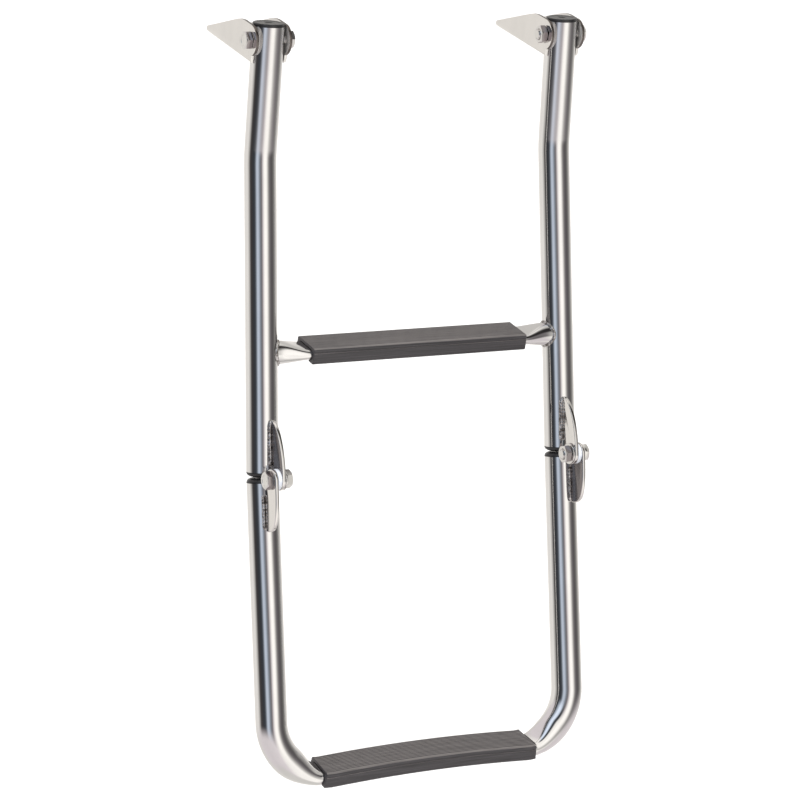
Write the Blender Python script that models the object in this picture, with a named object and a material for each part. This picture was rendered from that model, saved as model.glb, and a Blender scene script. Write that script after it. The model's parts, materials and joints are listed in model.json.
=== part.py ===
"""Folding two-step boarding ladder of round stainless tube, for the edge of a boat's swim platform.

The ladder is modelled as it hangs in use: X runs along the deck edge, +Y points inboard and +Z up.
The origin lies on the deck surface, midway between the two brackets and level with their pivot bolts.
Sizes are in millimetres, turned into metres by MM.

Three rigid groups make it up. The deck brackets stand still. The upper section, with the first step,
swings on the bracket bolts. The lower section, one bent tube with the second step, folds up in front
of the upper section on a pair of plate hinges.
"""

import math

import bmesh
import bpy
from mathutils import Matrix, Vector

MM = 0.001
GAP = 0.3 * MM  # clearance between pieces that touch

# Round tube
RAIL_RADIUS = 12.7 * MM
RAIL_WALL = 1.5 * MM
STEP_TUBE_RADIUS = 9.5 * MM
STEP_TUBE_WALL = 1.2 * MM
TUBE_SIDES = 24

# The flattened middle of both step tubes
FLAT_THICKNESS = 8.0 * MM
FLAT_WIDTH = 25.4 * MM

# Lean of each stretch of rail from the vertical, outboard at the foot
MAIN_LEAN = math.radians(17.0)
NECK_LEAN = math.radians(7.9)
LOWER_LEAN = math.radians(19.3)

# Rails, measured along the tube
RAIL_SPLAY = math.radians(0.78)  # each rail of the upper section leans out sideways by this
RAIL_HALF_SPACING = 131.1 * MM  # at the brackets
NECK_TOP = 11.0 * MM  # tube above the pivot bolt
NECK_LENGTH = 91.4 * MM  # pivot bolt to bend
MAIN_LENGTH = 250.2 * MM  # bend to the joint between the sections
HINGE_HALF_SPACING = RAIL_HALF_SPACING + (NECK_LENGTH + MAIN_LENGTH) * math.sin(RAIL_SPLAY)
RAIL_BEND_RADIUS = 90.0 * MM
STEP_DROP = 153.5 * MM  # bend to the first step

# The lower section's one bent tube
BAR_DROP = 237.5 * MM  # joint to the middle of the bottom bar
BAR_ARCH_RADIUS = 1536.0 * MM  # the bar rises a little towards its middle
U_BEND_RADIUS = 45.0 * MM
SHOULDER_AHEAD = 3.4 * MM  # the tube is still thick this far outside each end of the tread
SHOULDER_FOOT = 1.9 * MM  # and fully flat here
SHOULDER_FLATNESS = 0.8
SHOULDER_DROP = 1.4 * MM

# Moulded treads
TREAD_HALF_LENGTH = 96.0 * MM
TREAD_HALF_WIDTH = 15.5 * MM
TREAD_TOP_WALL = 2.5 * MM
TREAD_LIP_WALL = 2.0 * MM
TREAD_SLOT_HALF = 7.0 * MM
TREAD_TOP_ROUND = 2.6 * MM
TREAD_FOOT_ROUND = 1.6 * MM

# Deck brackets
PIVOT_HEIGHT = 17.2 * MM
SHEET = 2.2 * MM
EAR_INSIDE = 13.1 * MM  # from the rail's axis to the inner face of an ear
EAR_NOSE_RADIUS = 12.3 * MM
EAR_SHOULDER_RADIUS = 42.0 * MM
EAR_SHOULDER_START = 10.0 * MM
EAR_SLOPE = math.radians(22.5)
EAR_TAIL = 77.5 * MM
EAR_TAIL_ROUND = 3.0 * MM
EAR_TOE = -6.0 * MM
NOTCH_RADIUS = 14.0 * MM
SHEET_BEND_RADIUS = 3.0 * MM
CHANNEL_TOP = 18.0 * MM  # of the uncut channel, above the pivot
DECK_SCREW_RADIUS = 2.7 * MM
DECK_SCREW_HEAD_RADIUS = 5.2 * MM
DECK_SCREW_PLACES = (26.0 * MM, 52.0 * MM)

# Mid hinges
HINGE_REACH = 24.5 * MM  # from the rail's axis forward to the hinge bolt
HINGE_BACK = HINGE_REACH - RAIL_RADIUS - 0.4 * MM  # from the bolt to a plate's straight back
HINGE_NOSE_RADIUS = 8.7 * MM
HINGE_PLATE = 3.0 * MM
HINGE_PLATE_OFFSET = 1.7 * MM  # from the rail's axis to the near face of a plate
UPPER_PLATE_LENGTH = 45.5 * MM
UPPER_PLATE_POWER = 1.9  # of the superellipse along a plate's front; higher is squarer
LOWER_PLATE_LENGTH = 41.5 * MM
LOWER_PLATE_POWER = 3.2
PLUG_FLANGE = 3.8 * MM
PLUG_ROUND_ALONG = 3.3 * MM
PLUG_ROUND_ACROSS = 4.6 * MM

# Fasteners, M8 with a 13 mm hexagon
BOLT_RADIUS = 4.0 * MM
HOLE_RADIUS = 4.3 * MM
HEX_HALF = 6.5 * MM
HEAD_HEIGHT = 5.0 * MM
NUT_HEIGHT = 5.2 * MM
THREAD_PROUD = 1.2 * MM  # bolt end beyond its nut
WASHER_THICKNESS = 1.4 * MM
WASHER_RADIUS = 8.5 * MM
BUSH_RADIUS = 6.0 * MM
BUSH_HALF_LENGTH = 9.0 * MM
BOLT_SIDES = 24
PIVOT_HEX_TURN = {"left": math.radians(-17.0), "right": math.radians(27.0)}  # as each happens to stand
HINGE_HEX_TURN = {"left": math.radians(30.0), "right": math.radians(12.0)}

# How far the cutters of a bracket reach past it
CUTTER_BEHIND = 80.0 * MM
CUTTER_AHEAD = -20.0 * MM
CUTTER_BESIDE = 25.0 * MM

STEEL = ("polished_steel", (0.63, 0.62, 0.60), 0.08, 1.0)
SHEET_STEEL = ("bracket_steel", (0.60, 0.59, 0.58), 0.18, 1.0)
ZINC = ("fastener_steel", (0.62, 0.61, 0.58), 0.22, 1.0)
TREAD_PLASTIC = ("tread_plastic", (0.035, 0.033, 0.033), 0.45, 0.0)
CAP_PLASTIC = ("cap_plastic", (0.02, 0.02, 0.022), 0.40, 0.0)
NYLON = ("nylon", (0.80, 0.82, 0.86), 0.35, 0.0)


def clear_scene():
    for obj in list(bpy.data.objects):
        bpy.data.objects.remove(obj, do_unlink=True)


def material(finish):
    name, colour, roughness, metallic = finish
    found = bpy.data.materials.get(name)
    if found:
        return found
    made = bpy.data.materials.new(name)
    made.use_nodes = True
    shader = made.node_tree.nodes["Principled BSDF"]
    shader.inputs["Base Color"].default_value = (*colour, 1.0)
    shader.inputs["Roughness"].default_value = roughness
    shader.inputs["Metallic"].default_value = metallic
    made.diffuse_color = (*colour, 1.0)
    return made


def add_object(name, mesh_builder, finish, parent=None):
    """An object made from a bmesh, smooth-shaded with its hard edges kept sharp."""
    mesh = bpy.data.meshes.new(name)
    bmesh.ops.recalc_face_normals(mesh_builder, faces=mesh_builder.faces)
    mesh_builder.to_mesh(mesh)
    mesh_builder.free()
    mesh.materials.append(material(finish))
    mesh.shade_smooth()
    mesh.set_sharp_from_angle(angle=math.radians(35.0))
    obj = bpy.data.objects.new(name, mesh)
    bpy.context.scene.collection.objects.link(obj)
    obj.parent = parent
    return obj


def add_empty(name, location, lean, parent=None):
    empty = bpy.data.objects.new(name, None)
    bpy.context.scene.collection.objects.link(empty)
    empty.parent = parent
    empty.location = location
    empty.rotation_euler = (-lean, 0.0, 0.0)
    return empty


def add_cutter(name, mesh_builder, parent=None):
    cutter = add_object(name, mesh_builder, STEEL, parent)
    cutter.hide_render = True
    cutter.display_type = "WIRE"
    return cutter


def add_boolean(obj, cutter, operation="DIFFERENCE"):
    modifier = obj.modifiers.new(f"{operation.lower()}_{cutter.name}", "BOOLEAN")
    modifier.operation = operation
    modifier.object = cutter
    modifier.solver = "EXACT"


# Outlines and sections


def arc(centre, radius, start, end, steps):
    """Points on an arc in a plane, angles in radians, both ends included."""
    angles = [start + (end - start) * i / steps for i in range(steps + 1)]
    return [(centre[0] + radius * math.cos(a), centre[1] + radius * math.sin(a)) for a in angles]


def stadium(half_flat, radius, sides=TUBE_SIDES):
    """A circle whose two halves are moved apart by half_flat each: a flattened tube's section."""
    points = []
    for i in range(sides):
        angle = 2.0 * math.pi * (i + 0.5) / sides
        shift = math.copysign(half_flat, math.cos(angle))
        points.append((radius * math.cos(angle) + shift, radius * math.sin(angle)))
    return points


def tube_section(radius, flatness):
    """(half_flat, end_radius) of a tube squeezed from round, 0, to fully flat, 1."""
    end_radius = radius + (FLAT_THICKNESS / 2 - radius) * flatness
    half_width = radius + (FLAT_WIDTH / 2 - radius) * flatness
    return half_width - end_radius, end_radius


def smooth_step(value):
    value = min(1.0, max(0.0, value))
    return value * value * (3.0 - 2.0 * value)


def rounded_path(corners, radii, steps):
    """Points along a polyline whose inner corners are rounded by arcs, in three dimensions."""
    points = [corners[0]]
    for i, (radius, count) in enumerate(zip(radii, steps), start=1):
        corner = corners[i]
        back = (corners[i - 1] - corner).normalized()
        ahead = (corners[i + 1] - corner).normalized()
        half = back.angle(ahead) / 2
        centre = corner + (back + ahead).normalized() * radius / math.sin(half)
        start = corner + back * radius / math.tan(half) - centre
        turn = start.cross(ahead).normalized()
        sweep = math.pi - 2 * half
        for k in range(count + 1):
            points.append(centre + Matrix.Rotation(sweep * k / count, 3, turn) @ start)
    points.append(corners[-1])
    return points


def section_frames(path, reference, twist):
    """For each path point, the two directions that carry the section's width and thickness."""
    frames = []
    for i, _ in enumerate(path):
        tangent = (path[min(i + 1, len(path) - 1)] - path[max(i - 1, 0)]).normalized()
        across = (reference - tangent * reference.dot(tangent)).normalized()
        turned = Matrix.Rotation(twist, 3, tangent)
        frames.append((turned @ across, turned @ tangent.cross(across)))
    return frames


def ring_at(mesh_builder, centre, frame, section):
    return [mesh_builder.verts.new(centre + frame[0] * u + frame[1] * v) for u, v in section]


def skin(mesh_builder, rings, closed=False):
    """Quads between rings with equal numbers of points, and back to the first ring if closed."""
    pairs = list(zip(rings, rings[1:]))
    if closed:
        pairs.append((rings[-1], rings[0]))
    for one, other in pairs:
        for i, _ in enumerate(one):
            j = (i + 1) % len(one)
            mesh_builder.faces.new((one[i], one[j], other[j], other[i]))


def hollow_tube(path, reference, sections, wall, twist=0.0):
    """A swept tube, open at both ends, from the (half_flat, end_radius) of each path point."""
    builder = bmesh.new()
    frames = section_frames(path, reference, twist)
    outside = []
    inside = []
    for centre, frame, (half_flat, radius) in zip(path, frames, sections):
        outside.append(ring_at(builder, centre, frame, stadium(half_flat, radius)))
        inside.append(ring_at(builder, centre, frame, stadium(half_flat, radius - wall)))
    skin(builder, outside + inside[::-1], closed=True)
    return builder


def swept_solid(path, reference, section, twist=0.0):
    """One constant outline swept along a path, with flat ends."""
    builder = bmesh.new()
    frames = section_frames(path, reference, twist)
    rings = [ring_at(builder, centre, frame, section) for centre, frame in zip(path, frames)]
    skin(builder, rings)
    builder.faces.new(rings[0])
    builder.faces.new(rings[-1])
    return builder


def plate_along_x(outline, low, high):
    """A flat plate: an outline in Y and Z, extruded from X = low to X = high."""
    path = [Vector((low, 0.0, 0.0)), Vector((high, 0.0, 0.0))]
    return swept_solid(path, Vector((0.0, 1.0, 0.0)), outline)


def turned(profile, closed=False, sides=BOLT_SIDES):
    """A turned piece about X. Each profile point is (x, radius, hexagonal)."""
    builder = bmesh.new()
    rings = []
    for x, radius, hexagonal in profile:
        ring = []
        for i in range(sides):
            angle = 2.0 * math.pi * i / sides
            reach = radius
            if hexagonal:
                reach = radius / math.cos(angle % (math.pi / 3) - math.pi / 6)
            ring.append(builder.verts.new((x, reach * math.cos(angle), reach * math.sin(angle))))
        rings.append(ring)
    skin(builder, rings, closed)
    if not closed:
        builder.faces.new(rings[0])
        builder.faces.new(rings[-1])
    return builder


def cylinder_cutter(name, parent, location, direction, radius, length, sides=TUBE_SIDES):
    profile = [(-length / 2, radius, False), (length / 2, radius, False)]
    cutter = add_cutter(name, turned(profile, sides=sides), parent)
    cutter.location = location
    cutter.rotation_euler = direction.to_track_quat("X", "Z").to_euler()
    return cutter


# Deck brackets


def ear_outline():
    """Side outline of a bracket about its pivot: toe, round nose, long shoulder, sloping back, tail."""
    base = -PIVOT_HEIGHT
    tail_centre = (EAR_TAIL - EAR_TAIL_ROUND, base + EAR_TAIL_ROUND)
    quarter = math.pi / 2
    toe_angle = math.pi + math.acos(-EAR_TOE / EAR_NOSE_RADIUS)
    shoulder = (EAR_SHOULDER_START, EAR_NOSE_RADIUS - EAR_SHOULDER_RADIUS)
    outline = [(EAR_TOE, base)]
    outline += arc((0.0, 0.0), EAR_NOSE_RADIUS, toe_angle, quarter, 12)
    outline += arc(shoulder, EAR_SHOULDER_RADIUS, quarter, quarter - EAR_SLOPE, 6)
    outline += arc(tail_centre, EAR_TAIL_ROUND, quarter - EAR_SLOPE, -quarter, 6)
    return outline


def channel_section():
    """Cross-section of the bent sheet, a U open at the top, as (x, z) about the pivot."""
    outer = EAR_INSIDE + SHEET
    base = -PIVOT_HEIGHT
    top = CHANNEL_TOP
    bend = SHEET_BEND_RADIUS
    inner = bend - SHEET
    half = math.pi / 2
    section = [(-outer, top)]
    section += arc((bend - outer, base + bend), bend, math.pi, math.pi + half, 3)
    section += arc((outer - bend, base + bend), bend, -half, 0.0, 3)
    section += [(outer, top), (EAR_INSIDE, top)]
    section += arc((outer - bend, base + bend), inner, 0.0, -half, 2)
    section += arc((bend - outer, base + bend), inner, math.pi + half, math.pi, 2)
    section += [(-EAR_INSIDE, top)]
    return section


def notch_outline():
    """Plan of the cut in the base that lets the rail swing: straight sides and a round back."""
    half = EAR_INSIDE + 0.1 * MM
    centre = -PIVOT_HEIGHT * math.tan(NECK_LEAN)
    reach = math.asin(half / NOTCH_RADIUS)
    back = arc((0.0, centre), NOTCH_RADIUS, math.pi / 2 - reach, math.pi / 2 + reach, 8)
    return [(half, CUTTER_AHEAD)] + back + [(-half, CUTTER_AHEAD)]


def bracket(name, centre_x):
    """One U-shaped bracket of bent sheet, with two ears, a notched base and deck screw holes."""
    place = Vector((centre_x, 0.0, PIVOT_HEIGHT))
    path = [Vector((0.0, y, 0.0)) for y in (CUTTER_AHEAD, CUTTER_BEHIND)]
    section = [(x, -z) for x, z in channel_section()]
    obj = add_object(name, swept_solid(path, Vector((1.0, 0.0, 0.0)), section), SHEET_STEEL)
    obj.location = place

    outline = plate_along_x(ear_outline(), -CUTTER_BESIDE, CUTTER_BESIDE)
    side = add_cutter(f"{name}_outline", outline)
    side.location = place
    add_boolean(obj, side, "INTERSECT")

    base = -PIVOT_HEIGHT
    levels = [Vector((0.0, 0.0, z)) for z in (base - 1.0 * MM, base + SHEET + 1.0 * MM)]
    notch = add_cutter(f"{name}_notch", swept_solid(levels, Vector((1.0, 0.0, 0.0)), notch_outline()))
    notch.location = place
    add_boolean(obj, notch)

    across = Vector((1, 0, 0))
    hole_length = 2 * CUTTER_BESIDE
    add_boolean(obj, cylinder_cutter(f"{name}_bolt_hole", None, place, across, HOLE_RADIUS, hole_length))
    sink = DECK_SCREW_HEAD_RADIUS - DECK_SCREW_RADIUS
    countersink = [
        (-5.0 * MM, DECK_SCREW_RADIUS, False),
        (SHEET - sink, DECK_SCREW_RADIUS, False),
        (SHEET + 0.5 * MM, DECK_SCREW_HEAD_RADIUS + 0.5 * MM, False),
    ]
    for i, y in enumerate(DECK_SCREW_PLACES):
        hole = add_cutter(f"{name}_screw_hole_{i}", turned(countersink, sides=16))
        hole.location = (centre_x, y, 0.0)
        hole.rotation_euler = (0.0, -math.pi / 2, 0.0)
        add_boolean(obj, hole)
    return obj


# Fasteners, each turned about X


def hex_bolt(name, grip, parent, location, head_side, turn):
    """Bolt through a grip of (head face, nut face), both measured outward from its middle.

    The head is on the -X side, or on +X when head_side is +1. turn spins the hexagon about X.
    """
    head_low = -grip[0] - HEAD_HEIGHT
    end = grip[1] + NUT_HEIGHT + THREAD_PROUD
    chamfer = 0.8 * MM
    profile = [
        (head_low, HEX_HALF - 0.6 * MM, False),
        (head_low + chamfer, HEX_HALF, True),
        (-grip[0], HEX_HALF, True),
        (-grip[0], BOLT_RADIUS, False),
        (end - chamfer, BOLT_RADIUS, False),
        (end, BOLT_RADIUS - chamfer, False),
    ]
    obj = add_object(name, turned(profile), ZINC, parent)
    obj.location = location
    obj.rotation_euler = (turn, 0.0, math.pi if head_side > 0 else 0.0)
    return obj


def hex_nut(name, low, parent, location, nut_side, turn):
    chamfer = 0.7 * MM
    high = low + NUT_HEIGHT
    profile = [
        (low, HEX_HALF, True),
        (high - chamfer, HEX_HALF, True),
        (high, HEX_HALF - 0.5 * MM, False),
        (high, HOLE_RADIUS, False),
        (low, HOLE_RADIUS, False),
    ]
    obj = add_object(name, turned(profile, closed=True), ZINC, parent)
    obj.location = location
    obj.rotation_euler = (turn, 0.0, 0.0 if nut_side > 0 else math.pi)
    return obj


def ring_profile(low, high, radius):
    """Profile of a plain ring on a bolt, for turned."""
    corners = ((low, HOLE_RADIUS), (low, radius), (high, radius), (high, HOLE_RADIUS))
    return [(x, reach, False) for x, reach in corners]


def washer(name, centre_x, thickness, finish, parent, location):
    low = centre_x - thickness / 2
    high = centre_x + thickness / 2
    profile = ring_profile(low, high, WASHER_RADIUS)
    obj = add_object(name, turned(profile, closed=True), finish, parent)
    obj.location = location
    return obj


def bolt_and_nut(name, parent, location, grip, side, turn):
    """The head is on the outboard side of the ladder, away from the other rail."""
    hex_bolt(f"{name}_bolt", grip, parent, location, side, turn)
    hex_nut(f"{name}_nut", grip[1], parent, location, -side, turn)


# Tubes


def pivot_point(side):
    return Vector((side * RAIL_HALF_SPACING, 0.0, 0.0))


def neck_direction(side):
    """Downward direction of a rail's neck, in the upper section's frame."""
    angle = MAIN_LEAN - NECK_LEAN
    down = math.cos(RAIL_SPLAY)
    return Vector((side * math.sin(RAIL_SPLAY), down * math.sin(angle), -down * math.cos(angle)))


def rail_direction(side):
    """Downward direction of a rail's main length, in the upper section's frame."""
    return Vector((side * math.sin(RAIL_SPLAY), 0.0, -math.cos(RAIL_SPLAY)))


def rail_bend(side):
    """Corner between a rail's neck and its main length."""
    return pivot_point(side) + neck_direction(side) * NECK_LENGTH


def joint_centre(side):
    """Where the two sections meet on a rail's axis."""
    return rail_bend(side) + rail_direction(side) * MAIN_LENGTH


def step_centre(side):
    """Where the first step's axis meets a rail's axis."""
    return rail_bend(side) + rail_direction(side) * STEP_DROP


def upper_rail(name, side, parent):
    """Rail of the upper section: neck, slight bend, and straight main length."""
    pivot = pivot_point(side)
    bend = rail_bend(side)
    top = pivot - neck_direction(side) * NECK_TOP
    end = bend + rail_direction(side) * (MAIN_LENGTH - PLUG_FLANGE)
    path = rounded_path([top, bend, end], [RAIL_BEND_RADIUS], [6])
    sections = [tube_section(RAIL_RADIUS, 0.0)] * len(path)
    obj = add_object(name, hollow_tube(path, Vector((1, 0, 0)), sections, RAIL_WALL), STEEL, parent)
    hole = cylinder_cutter(f"{name}_bolt_hole", parent, pivot, Vector((1, 0, 0)), HOLE_RADIUS, 40 * MM)
    add_boolean(obj, hole)
    return obj


def first_step_tube(parent):
    """Cross tube, round against the rails and flattened under the tread, coped to fit the rails."""
    centre = step_centre(1)
    round_from = centre.x - RAIL_RADIUS + 1.0 * MM
    reach = round_from - TREAD_HALF_LENGTH
    stations = [TREAD_HALF_LENGTH + reach * i / 6 for i in range(7)] + [centre.x - 4.0 * MM]
    path = [Vector((x, centre.y, centre.z)) for x in [-s for s in reversed(stations)] + stations]
    sections = []
    for point in path:
        flatness = smooth_step((round_from - abs(point.x)) / reach)
        sections.append(tube_section(STEP_TUBE_RADIUS, flatness))
    builder = hollow_tube(path, Vector((0, 1, 0)), sections, STEP_TUBE_WALL, MAIN_LEAN)
    obj = add_object("first_step_tube", builder, STEEL, parent)
    for side, label in ((-1, "left"), (1, "right")):
        cutter_name = f"first_step_cope_{label}"
        along = rail_direction(side)
        reach = RAIL_RADIUS + GAP
        cope = cylinder_cutter(cutter_name, parent, step_centre(side), along, reach, 60 * MM, sides=32)
        add_boolean(obj, cope)
    return obj


def lower_frame_path():
    """Centre line of the lower section's bent tube, in that section's frame: leg, arched bar, leg."""
    bend_x = HINGE_HALF_SPACING - U_BEND_RADIUS
    arch_z = -BAR_DROP - BAR_ARCH_RADIUS
    rise = math.sqrt((BAR_ARCH_RADIUS + U_BEND_RADIUS) ** 2 - bend_x**2)
    bend_centre = (bend_x, arch_z + rise)
    slope = math.atan2(bend_x, rise)
    turn = 0.0
    half = [(HINGE_HALF_SPACING, 0.0)]
    for outside, count in ((SHOULDER_AHEAD, 11), (SHOULDER_FOOT, 1), (0.0, 1)):
        next_turn = -math.acos((TREAD_HALF_LENGTH + outside - bend_x) / U_BEND_RADIUS)
        half = half[:-1] + arc(bend_centre, U_BEND_RADIUS, turn, next_turn, count)
        turn = next_turn
    half += arc(bend_centre, U_BEND_RADIUS, turn, -math.pi / 2 - slope, 1)[1:]
    half += arc((0.0, arch_z), BAR_ARCH_RADIUS, math.pi / 2 - slope, math.pi / 2, 5)[1:]
    half = [(HINGE_HALF_SPACING, -PLUG_FLANGE)] + half
    whole = [(-x, z) for x, z in half] + half[-2::-1]
    return [Vector((x, HINGE_REACH, z)) for x, z in whole]


def lower_frame(parent):
    """The U-shaped tube of the lower section, flattened where the tread sits.

    Outside the tread it is only part flattened, from above, so that its underside stays low.
    """
    path = lower_frame_path()
    round_from = HINGE_HALF_SPACING - 0.28 * U_BEND_RADIUS
    reach = round_from - TREAD_HALF_LENGTH
    sections = []
    for point in path:
        flatness = smooth_step((round_from - abs(point.x)) / reach)
        if abs(point.x) > TREAD_HALF_LENGTH + SHOULDER_FOOT + GAP:
            point.z -= SHOULDER_DROP * flatness
            flatness *= SHOULDER_FLATNESS
        sections.append(tube_section(RAIL_RADIUS, flatness))
    builder = hollow_tube(path, Vector((0, 1, 0)), sections, RAIL_WALL, LOWER_LEAN)
    return add_object("lower_frame", builder, STEEL, parent)


# Treads


def tread_section():
    """C-shaped outline that wraps the flattened tube: rounded outside, open in a slot underneath."""
    half = TREAD_HALF_WIDTH
    cavity = FLAT_THICKNESS / 2 + GAP
    cavity_flat = FLAT_WIDTH / 2 - FLAT_THICKNESS / 2
    top = cavity + TREAD_TOP_WALL
    foot = -cavity - TREAD_LIP_WALL
    quarter = math.pi / 2
    big = TREAD_TOP_ROUND
    small = TREAD_FOOT_ROUND
    outline = [(TREAD_SLOT_HALF, foot)]
    outline += arc((half - small, foot + small), small, -quarter, 0.0, 3)
    outline += arc((half - big, top - big), big, 0.0, quarter, 4)
    outline += arc((big - half, top - big), big, quarter, 2 * quarter, 4)
    outline += arc((small - half, foot + small), small, 2 * quarter, 3 * quarter, 3)
    outline += [(-TREAD_SLOT_HALF, foot), (-TREAD_SLOT_HALF, -cavity)]
    outline += arc((-cavity_flat, 0.0), cavity, 3 * quarter, quarter, 8)
    outline += arc((cavity_flat, 0.0), cavity, quarter, -quarter, 8)
    outline += [(TREAD_SLOT_HALF, -cavity)]
    return outline


def first_tread(parent):
    centre = step_centre(1)
    path = [Vector((x, centre.y, centre.z)) for x in (-TREAD_HALF_LENGTH, TREAD_HALF_LENGTH)]
    builder = swept_solid(path, Vector((0, 1, 0)), tread_section(), MAIN_LEAN)
    return add_object("first_tread", builder, TREAD_PLASTIC, parent)


def lower_tread(parent):
    """The same moulding on the bottom bar, bent to the bar's slight arch."""
    path = [point for point in lower_frame_path() if abs(point.x) < TREAD_HALF_LENGTH + GAP]
    builder = swept_solid(path, Vector((0, 1, 0)), tread_section(), LOWER_LEAN)
    return add_object("lower_tread", builder, TREAD_PLASTIC, parent)


# Caps, plugs and bushes, turned about X and then stood along their tube


def stand_along(obj, location, direction):
    obj.location = location
    obj.rotation_euler = direction.to_track_quat("X", "Y").to_euler()


def top_cap(name, side, parent):
    """Push-in cap of a rail's top end: short stem, rounded flange, shallow dish and centre dimple."""
    rim = 12.4 * MM
    profile = [
        (-4.0 * MM, 10.2 * MM, False),
        (-3.4 * MM, RAIL_RADIUS - RAIL_WALL - GAP, False),
        (GAP, RAIL_RADIUS - RAIL_WALL - GAP, False),
        (GAP, rim, False),
        (1.9 * MM, rim, False),
        (2.5 * MM, rim - 0.8 * MM, False),
        (2.5 * MM, 9.4 * MM, False),
        (2.1 * MM, 8.8 * MM, False),
        (2.3 * MM, 4.0 * MM, False),
        (1.6 * MM, 2.8 * MM, False),
    ]
    obj = add_object(name, turned(profile), CAP_PLASTIC, parent)
    up = -neck_direction(side)
    stand_along(obj, pivot_point(side) + up * NECK_TOP, up)
    return obj


def rail_plug(name, tube_end, direction, parent):
    """Plug that closes a tube at the fold and takes the load face to face: stem and rounded flange."""
    stem = RAIL_RADIUS - RAIL_WALL - GAP
    face = PLUG_FLANGE - GAP / 2
    profile = [
        (-12.0 * MM, stem - 0.8 * MM, False),
        (-11.0 * MM, stem, False),
        (GAP, stem, False),
        (GAP, RAIL_RADIUS, False),
    ]
    for along, across in arc((0.0, 0.0), 1.0, math.pi / 2, 0.0, 4):
        height = face - PLUG_ROUND_ALONG * (1.0 - along)
        radius = RAIL_RADIUS - PLUG_ROUND_ACROSS * (1.0 - across)
        profile.append((height, radius, False))
    obj = add_object(name, turned(profile), CAP_PLASTIC, parent)
    stand_along(obj, tube_end, direction)
    return obj


def pivot_bush(name, side, parent):
    """Nylon sleeve inside the rail, round the pivot bolt, that keeps the thin tube from crushing."""
    profile = ring_profile(-BUSH_HALF_LENGTH, BUSH_HALF_LENGTH, BUSH_RADIUS)
    obj = add_object(name, turned(profile, closed=True), NYLON, parent)
    obj.location = pivot_point(side)
    return obj


# Mid hinges


def hinge_outline(up):
    """Side outline about the bolt: a round nose, a straight back against the rail, a full curved front.

    up is +1 for a plate that runs up its rail from the bolt, -1 for one that runs down.
    """
    length = UPPER_PLATE_LENGTH if up > 0 else LOWER_PLATE_LENGTH
    power = UPPER_PLATE_POWER if up > 0 else LOWER_PLATE_POWER
    outline = []
    for front, along in arc((0.0, 0.0), 1.0, 0.0, math.pi, 12):
        reach = HINGE_NOSE_RADIUS if front > 0.0 else HINGE_BACK
        outline.append((-front * reach, -along * HINGE_NOSE_RADIUS * up))
    steps = 12
    for i in range(steps, 0, -1):
        along = math.sin(math.pi / 2 * i / steps)
        swell = max(0.0, 1.0 - along**power) ** (1.0 / power)
        outline.append((HINGE_BACK - (HINGE_BACK + HINGE_NOSE_RADIUS) * swell, along * length * up))
    return outline


def hinge_plate(name, place, plate_side, up, parent):
    """Half-moon plate welded to the front of a rail, on the given side of the rail's middle."""
    near = plate_side * HINGE_PLATE_OFFSET
    far = plate_side * (HINGE_PLATE_OFFSET + HINGE_PLATE)
    builder = plate_along_x(hinge_outline(up), min(near, far), max(near, far))
    obj = add_object(name, builder, STEEL, parent)
    obj.location = place
    across = Vector((1, 0, 0))
    add_boolean(obj, cylinder_cutter(f"{name}_hole", parent, place, across, HOLE_RADIUS, 30 * MM))
    return obj


def mid_hinge(label, side, upper, lower):
    """Both plates of one hinge, with the bolt, nut and washers, which ride on the upper section.

    The upper plate is the inboard one of each pair.
    """
    place = joint_centre(side) + Vector((0.0, -HINGE_REACH, 0.0))
    upper_plate_side = 1 if side < 0 else -1
    lower_place = Vector((side * HINGE_HALF_SPACING, 0.0, 0.0))
    hinge_plate(f"upper_hinge_plate_{label}", place, upper_plate_side, 1, upper)
    hinge_plate(f"lower_hinge_plate_{label}", lower_place, -upper_plate_side, -1, lower)
    washer(f"hinge_spacer_{label}", 0.0, 2 * (HINGE_PLATE_OFFSET - GAP), NYLON, upper, place)
    head_face = HINGE_PLATE_OFFSET + HINGE_PLATE + GAP
    nut_face = head_face + WASHER_THICKNESS + GAP
    washer_x = -side * (head_face + WASHER_THICKNESS / 2)
    washer(f"hinge_{label}_washer", washer_x, WASHER_THICKNESS, ZINC, upper, place)
    bolt_and_nut(f"hinge_{label}", upper, place, (head_face, nut_face), side, HINGE_HEX_TURN[label])


def main():
    clear_scene()
    upper = add_empty("upper_section_pivot", (0.0, 0.0, PIVOT_HEIGHT), MAIN_LEAN)
    hinge_axis = joint_centre(1) + Vector((-HINGE_HALF_SPACING, -HINGE_REACH, 0.0))
    lower = add_empty("lower_section_hinge", hinge_axis, LOWER_LEAN - MAIN_LEAN, upper)
    for label, side in (("left", -1), ("right", 1)):
        x = side * RAIL_HALF_SPACING
        bracket(f"deck_bracket_{label}", x)
        place = Vector((x, 0.0, PIVOT_HEIGHT))
        face = EAR_INSIDE + SHEET + GAP
        bolt_and_nut(f"pivot_{label}", None, place, (face, face), side, PIVOT_HEX_TURN[label])
        upper_rail(f"upper_rail_{label}", side, upper)
        top_cap(f"top_cap_{label}", side, upper)
        pivot_bush(f"pivot_bush_{label}", side, upper)
        down = rail_direction(side)
        rail_plug(f"upper_rail_plug_{label}", joint_centre(side) - down * PLUG_FLANGE, down, upper)
        tube_end = Vector((side * HINGE_HALF_SPACING, HINGE_REACH, -PLUG_FLANGE))
        rail_plug(f"lower_rail_plug_{label}", tube_end, Vector((0, 0, 1)), lower)
        mid_hinge(label, side, upper, lower)
    first_step_tube(upper)
    first_tread(upper)
    lower_frame(lower)
    lower_tread(lower)


main()
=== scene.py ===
"""Looks of the folding boarding ladder: polished stainless tube and sheet, black moulded treads and caps.

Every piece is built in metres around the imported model. The upper section has its own frame, with its
origin midway between the pivot bolts and its Z axis along the rails, and so has the lower section, with
its origin midway between the mid hinges. Each piece is modelled in the frame of its section.
"""

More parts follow.
